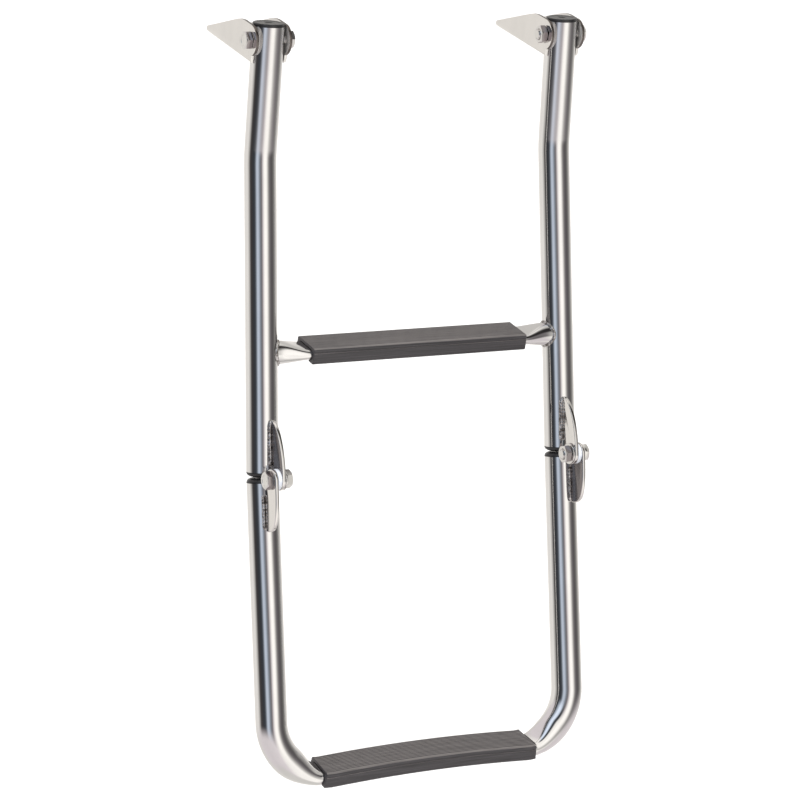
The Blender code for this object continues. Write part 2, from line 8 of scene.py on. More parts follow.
import json
import math

import bmesh
import bpy
from mathutils import Matrix, Vector, noise


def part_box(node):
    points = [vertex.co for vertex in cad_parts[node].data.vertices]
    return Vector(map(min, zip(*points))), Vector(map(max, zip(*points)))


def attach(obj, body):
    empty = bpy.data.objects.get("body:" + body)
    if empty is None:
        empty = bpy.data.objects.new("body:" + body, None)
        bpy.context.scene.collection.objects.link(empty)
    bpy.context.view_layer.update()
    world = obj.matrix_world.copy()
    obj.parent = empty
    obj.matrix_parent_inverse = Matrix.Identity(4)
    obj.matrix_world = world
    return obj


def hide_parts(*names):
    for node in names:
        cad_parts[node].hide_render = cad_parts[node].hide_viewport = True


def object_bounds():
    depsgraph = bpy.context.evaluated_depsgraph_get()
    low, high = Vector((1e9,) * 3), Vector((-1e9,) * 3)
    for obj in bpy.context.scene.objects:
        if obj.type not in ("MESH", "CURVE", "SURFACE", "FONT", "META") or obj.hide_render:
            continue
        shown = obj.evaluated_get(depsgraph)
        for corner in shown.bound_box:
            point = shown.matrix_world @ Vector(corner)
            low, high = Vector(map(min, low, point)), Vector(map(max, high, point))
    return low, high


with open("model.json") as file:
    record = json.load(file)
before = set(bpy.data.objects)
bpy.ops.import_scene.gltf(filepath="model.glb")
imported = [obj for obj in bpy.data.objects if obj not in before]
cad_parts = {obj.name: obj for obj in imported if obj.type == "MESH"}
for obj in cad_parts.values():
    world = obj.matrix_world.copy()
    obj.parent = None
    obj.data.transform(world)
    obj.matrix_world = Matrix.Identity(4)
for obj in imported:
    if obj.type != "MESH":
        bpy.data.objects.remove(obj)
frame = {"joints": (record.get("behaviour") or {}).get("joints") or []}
CAD_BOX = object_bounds()

MM = 0.001
SIDE_NAMES = (("left", -1), ("right", 1))


def centre_of(node):
    low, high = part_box(node)
    return (Vector(low) + Vector(high)) / 2


JOINTS = {joint["name"]: Vector(joint["pos_m"]) for joint in frame["joints"]}
PIVOT = JOINTS["deck_pivot"]
FOLD = JOINTS["mid_fold"]
PIVOT_HEIGHT = PIVOT.z

MAIN_LEAN = math.radians(17.0)
NECK_LEAN = math.radians(7.9)
LOWER_LEAN = math.radians(19.3)
RAIL_SPLAY = math.radians(0.78)

RAIL_RADIUS = 12.7 * MM
RAIL_WALL = 1.5 * MM
STEP_TUBE_RADIUS = 9.5 * MM
STEP_TUBE_WALL = 1.2 * MM
FLAT_THICKNESS = 8.0 * MM
FLAT_WIDTH = 25.4 * MM

RAIL_X = centre_of("pivot_bush_right").x
HINGE_X = centre_of("hinge_spacer_right").x
NECK_TOP = 11.0 * MM
NECK_LENGTH = 91.4 * MM
MAIN_LENGTH = 250.2 * MM
RAIL_BEND_RADIUS = 90.0 * MM
STEP_DROP = 153.5 * MM
HINGE_REACH = 24.5 * MM
PLUG_FLANGE = 3.8 * MM
BAR_DROP = 237.5 * MM
BAR_ARCH_RADIUS = 1536.0 * MM
U_BEND_RADIUS = 45.0 * MM
TREAD_HALF_LENGTH = 96.0 * MM
SHOULDER_AHEAD = 3.4 * MM  # the bent tube is still thick this far outside its tread
SHOULDER_FOOT = 1.0 * MM  # and starts to thicken here
SHOULDER_RISE = 2.2 * MM
SHOULDER_DROP = 1.4 * MM
SHOULDER_FLATNESS = 0.8
SHEET = 2.2 * MM
EAR_INSIDE = 13.1 * MM  # from a bracket's middle to its ears
HINGE_NEAR = 1.7 * MM  # from the rail's axis to a hinge plate
HINGE_FAR = 4.7 * MM
UPPER_PLATE = (45.5 * MM, 1.9)  # length from the bolt, and squareness of the curved front
LOWER_PLATE = (41.5 * MM, 3.2)

HEX_HALF = 6.5 * MM
BOLT_RADIUS = 4.0 * MM
BOLT_HOLE_RADIUS = 4.3 * MM
HEAD_HEIGHT = 5.0 * MM
NUT_HEIGHT = 5.2 * MM
WASHER = 1.4 * MM
WASHER_RADIUS = 8.5 * MM
JOINT_GAP = 0.3 * MM  # between a fastener and what it clamps
PIVOT_HEX_TURN = {"left": math.radians(-17.0), "right": math.radians(27.0)}
HINGE_HEX_TURN = {"left": math.radians(30.0), "right": math.radians(12.0)}

QUARTER = math.pi / 2
SHARP_ANGLE = math.radians(35.0)
STUDIO_AZIMUTH = math.radians(28.0)  # the camera and the panels face the ladder from here

UPPER = Matrix.Translation(PIVOT) @ Matrix.Rotation(-MAIN_LEAN, 4, "X")
LOWER = Matrix.Translation(FOLD) @ Matrix.Rotation(-LOWER_LEAN, 4, "X")


# Outlines, sections and sweeps


def arc(centre, radius, start, end, steps):
    """Points on an arc in a plane, angles in radians, both ends included."""
    angles = [start + (end - start) * i / steps for i in range(steps + 1)]
    return [(centre[0] + radius * math.cos(a), centre[1] + radius * math.sin(a)) for a in angles]


def smooth_step(value):
    value = min(1.0, max(0.0, value))
    return value * value * (3.0 - 2.0 * value)


def stadium(half_flat, radius, sides=64):
    """A circle whose two halves are moved apart by half_flat each: a flattened tube's section."""
    points = []
    for i in range(sides):
        angle = 2.0 * math.pi * (i + 0.5) / sides
        shift = math.copysign(half_flat, math.cos(angle))
        points.append((radius * math.cos(angle) + shift, radius * math.sin(angle)))
    return points


def tube_section(radius, flatness):
    """(half_flat, end_radius) of a tube squeezed from round, 0, to fully flat, 1."""
    end_radius = radius + (FLAT_THICKNESS / 2 - radius) * flatness
    half_width = radius + (FLAT_WIDTH / 2 - radius) * flatness
    return half_width - end_radius, end_radius


def section_frames(path, reference, twist=0.0, closed=False):
    """For each path point, the two directions that carry the section's width and thickness.

    reference is the direction that the width follows, the same all along or one for each point.
    """
    frames = []
    count = len(path)
    for i in range(count):
        if closed:
            tangent = (path[(i + 1) % count] - path[i - 1]).normalized()
        else:
            tangent = (path[min(i + 1, count - 1)] - path[max(i - 1, 0)]).normalized()
        toward = reference[i] if isinstance(reference, list) else reference
        across = (toward - tangent * toward.dot(tangent)).normalized()
        turned_frame = Matrix.Rotation(twist, 3, tangent)
        frames.append((turned_frame @ across, turned_frame @ tangent.cross(across)))
    return frames


def ring_at(builder, centre, axes, section):
    return [builder.verts.new(centre + axes[0] * u + axes[1] * v) for u, v in section]


def skin(builder, rings, closed=False):
    pairs = list(zip(rings, rings[1:]))
    if closed:
        pairs.append((rings[-1], rings[0]))
    for one, other in pairs:
        for i, _ in enumerate(one):
            j = (i + 1) % len(one)
            builder.faces.new((one[i], one[j], other[j], other[i]))


def hollow_tube(path, reference, sections, wall, twist=0.0):
    builder = bmesh.new()
    frames = section_frames(path, reference, twist)
    outside = []
    inside = []
    for centre, axes, (half_flat, radius) in zip(path, frames, sections):
        outside.append(ring_at(builder, centre, axes, stadium(half_flat, radius)))
        inside.append(ring_at(builder, centre, axes, stadium(half_flat, radius - wall)))
    skin(builder, outside + inside[::-1], closed=True)
    return builder


def swept_solid(path, reference, section, twist=0.0):
    builder = bmesh.new()
    frames = section_frames(path, reference, twist)
    rings = [ring_at(builder, centre, axes, section) for centre, axes in zip(path, frames)]
    skin(builder, rings)
    builder.faces.new(rings[0])
    builder.faces.new(rings[-1])
    return builder


def plate_along_x(outline, low, high):
    return swept_solid([Vector((low, 0, 0)), Vector((high, 0, 0))], Vector((0, 1, 0)), outline)


def turned(profile, closed=False, sides=96):
    """A piece turned about X from (x, radius) points."""
    builder = bmesh.new()
    rings = []
    for x, radius in profile:
        angles = [2.0 * math.pi * i / sides for i in range(sides)]
        rings.append([builder.verts.new((x, radius * math.cos(a), radius * math.sin(a))) for a in angles])
    skin(builder, rings, closed)
    if not closed:
        builder.faces.new(rings[0])
        builder.faces.new(rings[-1])
    return builder


def rounded_ring(low, high, inner, outer, edge):
    """Profile of a ring with its two outer edges rounded, for turned with closed=True."""
    profile = [(low, inner)]
    profile += arc((low + edge, outer - edge), edge, 2 * QUARTER, QUARTER, 3)
    profile += arc((high - edge, outer - edge), edge, QUARTER, 0.0, 3)
    return profile + [(high, inner)]


def bolt_hole(half_length):
    return turned([(-half_length, BOLT_HOLE_RADIUS), (half_length, BOLT_HOLE_RADIUS)])


# Objects


def add_object(name, builder, material, place=Matrix(), sharp=SHARP_ANGLE):
    """Makes an object of a mesh in progress; edges over the sharp angle stay hard."""
    mesh = bpy.data.meshes.new(name)
    bmesh.ops.recalc_face_normals(builder, faces=builder.faces)
    builder.to_mesh(mesh)
    builder.free()
    mesh.materials.append(material)
    mesh.shade_smooth()
    mesh.set_sharp_from_angle(angle=sharp)
    obj = bpy.data.objects.new(name, mesh)
    bpy.context.scene.collection.objects.link(obj)
    obj.matrix_world = place
    return obj


def add_cut(obj, builder, place=Matrix(), operation="DIFFERENCE"):
    """Cuts obj with a shape at once, so that no helper is left in the scene."""
    cutter = add_object(f"{obj.name}_cutter", builder, obj.data.materials[0], place)
    modifier = obj.modifiers.new("cut", "BOOLEAN")
    modifier.operation = operation
    modifier.object = cutter
    modifier.solver = "EXACT"
    apply_modifiers(obj)
    bpy.data.objects.remove(cutter)


def apply_modifiers(obj):
    bpy.context.view_layer.update()
    graph = bpy.context.evaluated_depsgraph_get()
    mesh = bpy.data.meshes.new_from_object(obj.evaluated_get(graph))
    obj.modifiers.clear()
    obj.data = mesh
    mesh.set_sharp_from_angle(angle=SHARP_ANGLE)


def soften(obj, width, segments=2):
    """Rounds the hard edges by a fraction of a millimetre."""
    modifier = obj.modifiers.new("soften", "BEVEL")
    modifier.width = width
    modifier.segments = segments
    modifier.limit_method = "ANGLE"
    modifier.angle_limit = math.radians(40.0)
    apply_modifiers(obj)


def join(obj, builder):
    """Adds another closed shell, in the object's own frame, to an object's mesh."""
    bmesh.ops.recalc_face_normals(builder, faces=builder.faces)
    extra = bpy.data.meshes.new("extra")
    builder.to_mesh(extra)
    builder.free()
    whole = bmesh.new()
    whole.from_mesh(obj.data)
    whole.from_mesh(extra)
    whole.to_mesh(obj.data)
    whole.free()
    obj.data.shade_smooth()
    obj.data.set_sharp_from_angle(angle=SHARP_ANGLE)
    bpy.data.meshes.remove(extra)


def new_finish(obj, material, belongs):
    """Gives another finish to the faces that belongs picks out."""
    obj.data.materials.append(material)
    for face in obj.data.polygons:
        if belongs(face):
            face.material_index = len(obj.data.materials) - 1


def settle(obj, body, slot, *nodes):
    """Ties a piece to its body and puts it in the place of solids; the slot is not used."""
    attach(obj, body)
    if nodes:
        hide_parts(*nodes)
    return obj


# Materials


def new_material(name):
    material = bpy.data.materials.new(name)
    material.use_nodes = True
    nodes = material.node_tree.nodes
    shader = nodes["Principled BSDF"]
    return material, nodes, material.node_tree.links, shader


def scaled_coordinates(nodes, links, scale):
    where = nodes.new("ShaderNodeTexCoord")
    mapping = nodes.new("ShaderNodeMapping")
    mapping.inputs["Scale"].default_value = scale
    links.new(where.outputs["Object"], mapping.inputs["Vector"])
    return mapping.outputs["Vector"]


def noise_texture(nodes, links, scale, detail=4.0, roughness=0.55, distortion=0.0):
    """Noise in the piece's own space, with a scale in cells per metre along X, Y and Z."""
    texture = nodes.new("ShaderNodeTexNoise")
    texture.inputs["Scale"].default_value = 1.0
    texture.inputs["Detail"].default_value = detail
    texture.inputs["Roughness"].default_value = roughness
    texture.inputs["Distortion"].default_value = distortion
    links.new(scaled_coordinates(nodes, links, scale), texture.inputs["Vector"])
    return texture.outputs["Fac"]


def ramp(nodes, links, factor, stops):
    """A colour that follows (position, colour) stops."""
    mixer = nodes.new("ShaderNodeValToRGB")
    elements = mixer.color_ramp.elements
    elements[0].position, elements[0].color = stops[0][0], (*stops[0][1], 1.0)
    elements[1].position, elements[1].color = stops[-1][0], (*stops[-1][1], 1.0)
    for position, colour in stops[1:-1]:
        elements.new(position).color = (*colour, 1.0)
    links.new(factor, mixer.inputs["Fac"])
    return mixer.outputs["Color"]


def to_range(nodes, links, factor, low, high):
    """Spreads a noise's usual range, 0.3 to 0.7, over low to high."""
    mapped = nodes.new("ShaderNodeMapRange")
    mapped.inputs["From Min"].default_value = 0.3
    mapped.inputs["From Max"].default_value = 0.7
    mapped.inputs["To Min"].default_value = low
    mapped.inputs["To Max"].default_value = high
    links.new(factor, mapped.inputs["Value"])
    return mapped.outputs["Result"]


def add_bump(nodes, links, shader, layers):
    """Bump from (height, depth in metres) layers, coarse ones first."""
    normal = None
    for height, depth in layers:
        bump = nodes.new("ShaderNodeBump")
        bump.inputs["Strength"].default_value = 1.0
        bump.inputs["Distance"].default_value = depth
        links.new(height, bump.inputs["Height"])
        if normal is not None:
            links.new(normal, bump.inputs["Normal"])
        normal = bump.outputs["Normal"]
    links.new(normal, shader.inputs["Normal"])


def steel(name, colour, streak_scale, roughness, ripple=0.0):
    """Polished stainless: faint lengthwise polishing lines, water smears and a barely uneven surface."""
    material, nodes, links, shader = new_material(name)
    shader.inputs["Metallic"].default_value = 1.0
    smears = noise_texture(nodes, links, (45, 45, 22), 5.0, 0.6, 0.4)
    streaks = noise_texture(nodes, links, streak_scale, 3.0, 0.5)
    darker = tuple(0.94 * c for c in colour)
    links.new(ramp(nodes, links, smears, [(0.3, darker), (0.62, colour)]), shader.inputs["Base Color"])
    low, high = roughness
    smear_roughness = to_range(nodes, links, smears, low, high)
    links.new(smear_roughness, shader.inputs["Roughness"])
    layers = [(streaks, 0.0000012)]
    if ripple:
        waves = noise_texture(nodes, links, (30, 30, 14), 1.0, 0.4)
        layers.insert(0, (waves, ripple))
    add_bump(nodes, links, shader, layers)
    return material


def weld_metal(name):
    """Weld bead: bright metal mottled with dark and dull oxide that changes from ripple to ripple."""
    material, nodes, links, shader = new_material(name)
    shader.inputs["Metallic"].default_value = 1.0
    tint = noise_texture(nodes, links, (330, 330, 210), 5.0, 0.72, 0.8)
    stops = [
        (0.30, (0.06, 0.055, 0.05)),
        (0.41, (0.20, 0.18, 0.165)),
        (0.50, (0.42, 0.40, 0.38)),
        (0.58, (0.78, 0.77, 0.76)),
        (0.70, (0.50, 0.52, 0.55)),
    ]
    links.new(ramp(nodes, links, tint, stops), shader.inputs["Base Color"])
    grain = noise_texture(nodes, links, (900, 900, 900), 3.0, 0.6)
    links.new(to_range(nodes, links, grain, 0.16, 0.42), shader.inputs["Roughness"])
    add_bump(nodes, links, shader, [(grain, 0.00006)])
    return material


def moulded_plastic(name, dark, light, roughness, streak_scale, grain_depth):
    """Black moulding: drag lines along the moulding and a fine spark-eroded grain, mottled between a dark
    and a light colour.
    """
    material, nodes, links, shader = new_material(name)
    streaks = noise_texture(nodes, links, streak_scale, 5.0, 0.65)
    grain = noise_texture(nodes, links, (2600, 2600, 2600), 2.0, 0.5)
    links.new(ramp(nodes, links, streaks, [(0.30, dark), (0.70, light)]), shader.inputs["Base Color"])
    links.new(to_range(nodes, links, streaks, *roughness), shader.inputs["Roughness"])
    add_bump(nodes, links, shader, [(streaks, grain_depth), (grain, grain_depth * 0.4)])
    return material


def nylon_plastic(name):
    material, nodes, links, shader = new_material(name)
    cloud = noise_texture(nodes, links, (220, 220, 220), 3.0)
    stops = [(0.3, (0.68, 0.71, 0.78)), (0.7, (0.84, 0.86, 0.90))]
    links.new(ramp(nodes, links, cloud, stops), shader.inputs["Base Color"])
    links.new(to_range(nodes, links, cloud, 0.28, 0.42), shader.inputs["Roughness"])
    shader.inputs["Subsurface Weight"].default_value = 0.15
    shader.inputs["Subsurface Radius"].default_value = (0.002, 0.002, 0.002)
    add_bump(nodes, links, shader, [(cloud, 0.00001)])
    return material


TUBE_STEEL = steel("tube_steel", (0.81, 0.805, 0.80), (1500, 1500, 60), (0.035, 0.085), 0.000004)
STEP_STEEL = steel("step_steel", (0.81, 0.805, 0.80), (60, 1500, 1500), (0.035, 0.085), 0.000004)
PLATE_STEEL = steel("plate_steel", (0.80, 0.785, 0.765), (1200, 1200, 90), (0.05, 0.12), 0.000003)
# Painted shade: near-black steel for the bracket ears' cut edges, standing in for how dark they look.
EDGE_PAINTED_SHADE = steel("ear_edge_painted_shade", (0.17, 0.15, 0.14), (900, 900, 900), (0.20, 0.32))
# Partly painted light: a rougher, matte finish for the ears' insides, and a colour lighter than the
# polished steel that stands in for the pale light they show.
INNER_MATTE_PAINTED_LIGHT = steel("ear_inside_matte_painted_light", (0.92, 0.91, 0.89), (1200, 1200, 90), (0.35, 0.50))
# Painted reflection: dark steel for one face of each hinge plate, standing in for the dark surroundings it
# mirrors.
PLATE_FACE_PAINTED_REFLECTION = steel("plate_face_painted_reflection", (0.24, 0.22, 0.22), (1200, 1200, 90), (0.18, 0.30))
FASTENER_STEEL = steel("fastener_steel", (0.76, 0.75, 0.73), (900, 900, 900), (0.10, 0.22))
# Painted reflection: darker steel for the hexagon flats on the ends that face the ladder's left.
FLANK_PAINTED_REFLECTION = steel("hex_flank_painted_reflection", (0.33, 0.30, 0.30), (900, 900, 900), (0.16, 0.28))
WELD = weld_metal("weld_metal")
TREAD_BLACK = moulded_plastic(
    "tread_black", (0.016, 0.0145, 0.016), (0.072, 0.066, 0.070), (0.38, 0.60), (18, 1500, 1500), 0.00003
)
# Painted light: a lighter copy of the tread moulding for the faces that look up, standing in for their
# light from above.
TREAD_PAINTED_TOP_LIGHT = moulded_plastic(
    "tread_painted_top_light", (0.075, 0.069, 0.067), (0.190, 0.175, 0.168), (0.40, 0.62), (18, 1500, 1500), 0.00003
)
CAP_BLACK = moulded_plastic(
    "cap_black", (0.010, 0.010, 0.011), (0.022, 0.022, 0.023), (0.28, 0.42), (500, 500, 500), 0.00001
)
NYLON = nylon_plastic("natural_nylon")


# Lines of the ladder, as in the solids


def rounded_path(corners, radii, steps):
    """Points along a polyline whose inner corners are rounded by arcs, in three dimensions."""
    points = [corners[0]]
    for i, (radius, count) in enumerate(zip(radii, steps), start=1):
        corner = corners[i]
        back = (corners[i - 1] - corner).normalized()
        ahead = (corners[i + 1] - corner).normalized()
        half = back.angle(ahead) / 2
        centre = corner + (back + ahead).normalized() * radius / math.sin(half)
        start = corner + back * radius / math.tan(half) - centre
        turn = start.cross(ahead).normalized()
        sweep = math.pi - 2 * half
        for k in range(count + 1):
            points.append(centre + Matrix.Rotation(sweep * k / count, 3, turn) @ start)
    points.append(corners[-1])
    return points


def pivot_point(side):
    return Vector((side * RAIL_X, 0.0, 0.0))


def neck_direction(side):
    angle = MAIN_LEAN - NECK_LEAN
    down = math.cos(RAIL_SPLAY)
    return Vector((side * math.sin(RAIL_SPLAY), down * math.sin(angle), -down * math.cos(angle)))


def rail_direction(side):
    return Vector((side * math.sin(RAIL_SPLAY), 0.0, -math.cos(RAIL_SPLAY)))


def rail_point(side, distance):
    """Point on a rail's axis, a distance below the bend."""
    return pivot_point(side) + neck_direction(side) * NECK_LENGTH + rail_direction(side) * distance


def lower_frame_path():
    """Centre line of the lower section's bent tube: leg, arched bar, leg."""
    bend_x = HINGE_X - U_BEND_RADIUS
    arch_z = -BAR_DROP - BAR_ARCH_RADIUS
    rise = math.sqrt((BAR_ARCH_RADIUS + U_BEND_RADIUS) ** 2 - bend_x**2)
    bend_centre = (bend_x, arch_z + rise)
    slope = math.atan2(bend_x, rise)
    shoulder_end = math.acos((TREAD_HALF_LENGTH + SHOULDER_AHEAD - bend_x) / U_BEND_RADIUS)
    tread_end = math.acos((TREAD_HALF_LENGTH - bend_x) / U_BEND_RADIUS)
    leg_top = -PLUG_FLANGE
    leg_foot = bend_centre[1]
    half = [(HINGE_X, leg_top + (leg_foot - leg_top) * i / 6) for i in range(6)]
    half += arc(bend_centre, U_BEND_RADIUS, 0.0, -shoulder_end, 40)
    half += arc(bend_centre, U_BEND_RADIUS, -shoulder_end, -tread_end, 8)[1:]
    half += arc(bend_centre, U_BEND_RADIUS, -tread_end, -math.pi / 2 - slope, 3)[1:]
    half += arc((0.0, arch_z), BAR_ARCH_RADIUS, math.pi / 2 - slope, math.pi / 2, 16)[1:]
    whole = [(-x, z) for x, z in half] + half[-2::-1]
    return [Vector((x, HINGE_REACH, z)) for x, z in whole]


# Tubes


def upper_rail(label, side):
    """Neck, slight bend and long straight, with the bolt hole cut through the neck."""
    pivot = pivot_point(side)
    neck = neck_direction(side)
    hole_band = 8.0 * MM
    corners = [pivot + neck * hole_band, rail_point(side, 0.0), rail_point(side, MAIN_LENGTH - PLUG_FLANGE)]
    path = [pivot - neck * NECK_TOP, pivot - neck * hole_band]
    path += rounded_path(corners, [RAIL_BEND_RADIUS], [20])
    sections = [tube_section(RAIL_RADIUS, 0.0)] * len(path)
    builder = hollow_tube(path, Vector((1, 0, 0)), sections, RAIL_WALL)
    rail = add_object(f"rail_{label}", builder, TUBE_STEEL)
    add_cut(rail, bolt_hole(20.0 * MM), Matrix.Translation(pivot))
    rail.matrix_world = UPPER
    return settle(rail, "upper_section", "polished_steel", f"upper_rail_{label}")


def first_step_tube():
    """Cross tube of the first step: round at the rails, drawn down to a flat blade under the tread."""
    centre = rail_point(1, STEP_DROP)
    round_from = centre.x - RAIL_RADIUS + 1.0 * MM
    reach = round_from - TREAD_HALF_LENGTH
    stations = [TREAD_HALF_LENGTH + reach * i / 28 for i in range(29)] + [centre.x - 4.0 * MM]
    path = [Vector((x, centre.y, centre.z)) for x in [-s for s in reversed(stations)] + stations]
    sections = []
    for point in path:
        flatness = smooth_step((round_from - abs(point.x)) / reach)
        sections.append(tube_section(STEP_TUBE_RADIUS, flatness))
    builder = hollow_tube(path, Vector((0, 1, 0)), sections, STEP_TUBE_WALL, MAIN_LEAN)
    tube = add_object("step_tube", builder, STEP_STEEL)
    for side in (-1, 1):
        stand = rail_direction(side).to_track_quat("X", "Z").to_matrix().to_4x4()
        cope_radius = RAIL_RADIUS + 0.1 * MM
        cope = turned([(-30.0 * MM, cope_radius), (30.0 * MM, cope_radius)], sides=128)
        add_cut(tube, cope, Matrix.Translation(rail_point(side, STEP_DROP)) @ stand)
    tube.matrix_world = UPPER
    return settle(tube, "upper_section", "polished_steel", "first_step_tube")


def lower_frame():
    """One tube bent to a U, part flattened from above outside the tread and fully flattened inside it."""
    path = lower_frame_path()
    round_from = HINGE_X - 0.28 * U_BEND_RADIUS
    reach = round_from - TREAD_HALF_LENGTH
    sections = []
    for point in path:
        flatness = smooth_step((round_from - abs(point.x)) / reach)
        outside = abs(point.x) - TREAD_HALF_LENGTH
        shoulder = smooth_step((outside - SHOULDER_FOOT) / SHOULDER_RISE)
        point.z -= SHOULDER_DROP * flatness * shoulder
        flatness *= 1.0 - (1.0 - SHOULDER_FLATNESS) * shoulder
        sections.append(tube_section(RAIL_RADIUS, flatness))
    builder = hollow_tube(path, Vector((0, 1, 0)), sections, RAIL_WALL, LOWER_LEAN)
    tube = add_object("lower_u_tube", builder, TUBE_STEEL, LOWER)
    return settle(tube, "lower_section", "polished_steel", "lower_frame")


# Treads


def tread_section(grooves=13):
    """C-shaped outline round the flattened tube, open in a slot below.

    It is grooved along its top, and a moulded line runs along each side just under the top edge.
    """
    half = 15.5 * MM
    cavity = FLAT_THICKNESS / 2 + 0.3 * MM
    cavity_flat = FLAT_WIDTH / 2 - FLAT_THICKNESS / 2
    top = cavity + 2.5 * MM
    foot = -cavity - 2.0 * MM
    slot = 7.0 * MM
    big = 2.6 * MM
    small = 1.6 * MM
    groove_depth = 0.35 * MM
    groove_half = 0.42 * MM
    line_high = top - big - 0.1 * MM
    line_low = line_high - 1.3 * MM
    line_depth = 0.4 * MM
    line_bevel = 0.2 * MM
    pitch = 2.0 * (half - big) / grooves
    outline = [(slot, foot)]
    outline += arc((half - small, foot + small), small, -QUARTER, 0.0, 6)
    outline += [
        (half, line_low), (half - line_depth, line_low + line_bevel),
        (half - line_depth, line_high - line_bevel), (half, line_high),
    ]
    outline += arc((half - big, top - big), big, 0.0, QUARTER, 10)
    for i in range(grooves):
        middle = half - big - pitch * (i + 0.5)
        outline += [
            (middle + groove_half, top),
            (middle + groove_half * 0.45, top - groove_depth),
            (middle - groove_half * 0.45, top - groove_depth),
            (middle - groove_half, top),
        ]
    outline += arc((big - half, top - big), big, QUARTER, 2 * QUARTER, 10)
    outline += [
        (-half, line_high), (line_depth - half, line_high - line_bevel),
        (line_depth - half, line_low + line_bevel), (-half, line_low),
    ]
    outline += arc((small - half, foot + small), small, 2 * QUARTER, 3 * QUARTER, 6)
    outline += [(-slot, foot), (-slot, -cavity)]
    outline += arc((-cavity_flat, 0.0), cavity, 3 * QUARTER, QUARTER, 16)
    outline += arc((cavity_flat, 0.0), cavity, QUARTER, -QUARTER, 16)
    outline += [(slot, -cavity)]
    return outline


def soften_ends(obj, inset):
    """Rounds the rims of the two end faces only."""
    whole = bmesh.new()
    whole.from_mesh(obj.data)
    ends = [face for face in whole.faces if len(face.verts) > 8]
    rims = {edge for face in ends for edge in face.edges}
    bmesh.ops.bevel(
        whole, geom=list(rims), offset=inset, segments=3, profile=0.5, affect="EDGES", clamp_overlap=True
    )
    whole.to_mesh(obj.data)
    whole.free()
    obj.data.shade_smooth()
    obj.data.set_sharp_from_angle(angle=math.radians(40.0))


def tread(name, path, lean, place, body, node):
    """A moulding swept along the bar that it clips on, with painted light on the faces that look up: they
    get a lighter copy of the moulding.
    """
    obj = add_object(name, swept_solid(path, Vector((0, 1, 0)), tread_section(), lean), TREAD_BLACK, place)
    soften_ends(obj, 0.25 * MM)
    # Painted light: faces that look up get the lighter copy, as if lit from above.
    new_finish(obj, TREAD_PAINTED_TOP_LIGHT, lambda face: (obj.matrix_world.to_3x3() @ face.normal).z > 0.7)
    settle(obj, body, "tread_plastic", node)


def first_tread():
    centre = rail_point(1, STEP_DROP)
    path = [Vector((x, centre.y, centre.z)) for x in (-TREAD_HALF_LENGTH, TREAD_HALF_LENGTH)]
    tread("upper_tread", path, MAIN_LEAN, UPPER, "upper_section", "first_tread")


def lower_tread():
    path = [point for point in lower_frame_path() if abs(point.x) < TREAD_HALF_LENGTH + 0.1 * MM]
    tread("bottom_tread", path, LOWER_LEAN, LOWER, "lower_section", "lower_tread")


# Caps and plugs


def stand_along(location, direction):
    return Matrix.Translation(location) @ direction.to_track_quat("X", "Y").to_matrix().to_4x4()


def top_cap(label, side):
    """Push-in cap: rounded rim, dished face and a centre dimple left by the mould gate."""
    rim = 12.4 * MM
    profile = [(-4.0 * MM, 10.2 * MM), (-3.4 * MM, 10.9 * MM), (0.1 * MM, 10.9 * MM), (0.1 * MM, rim)]
    profile += arc((1.6 * MM, rim - 0.9 * MM), 0.9 * MM, QUARTER, 0.0, 8)
    profile += [(2.45 * MM, 9.6 * MM), (2.2 * MM, 9.0 * MM), (2.15 * MM, 8.4 * MM)]
    profile += [(2.3 * MM, 5.5 * MM), (2.32 * MM, 3.6 * MM), (2.1 * MM, 3.0 * MM)]
    profile += [(1.7 * MM, 2.2 * MM), (1.55 * MM, 1.0 * MM), (1.5 * MM, 0.3 * MM)]
    up = -neck_direction(side)
    place = UPPER @ stand_along(pivot_point(side) + up * NECK_TOP, up)
    cap = add_object(f"cap_{label}", turned(profile), CAP_BLACK, place, math.radians(50.0))
    return settle(cap, "upper_section", "cap_plastic", f"top_cap_{label}")


def rail_plug(section_name, label, place, body):
    """Plug that closes a tube at the fold; the two plugs of a rail meet face to face."""
    round_along = 3.3 * MM
    round_across = 4.6 * MM
    rim = RAIL_RADIUS - 0.05 * MM
    face = PLUG_FLANGE - 0.03 * MM
    profile = [(-12.0 * MM, 10.1 * MM), (-11.0 * MM, 10.9 * MM), (0.1 * MM, 10.9 * MM), (0.1 * MM, rim)]
    for along, across in arc((0.0, 0.0), 1.0, QUARTER, 0.0, 16):
        profile.append((face - round_along * (1.0 - along), rim - round_across * (1.0 - across)))
    profile += [(face, 4.0 * MM), (face - 0.6 * MM, 3.4 * MM), (face - 0.7 * MM, 0.5 * MM)]
    plug = add_object(f"plug_{section_name}_{label}", turned(profile), CAP_BLACK, place, math.radians(50.0))
    return settle(plug, body, "cap_plastic", f"{section_name}_rail_plug_{label}")


# Deck brackets


def ear_outline():
    """Side outline about the pivot: toe, round nose, long shoulder, sloping back and rounded tail."""
    nose = 12.3 * MM
    shoulder_radius = 42.0 * MM
    slope = math.radians(22.5)
    toe = -6.0 * MM
    tail_round = 3.0 * MM
    base = -PIVOT_HEIGHT
    tail_centre = (77.5 * MM - tail_round, base + tail_round)
    outline = [(toe, base)]
    outline += arc((0.0, 0.0), nose, math.pi + math.acos(-toe / nose), QUARTER, 48)
    outline += arc((10.0 * MM, nose - shoulder_radius), shoulder_radius, QUARTER, QUARTER - slope, 20)
    outline += arc(tail_centre, tail_round, QUARTER - slope, -QUARTER, 14)
    return outline


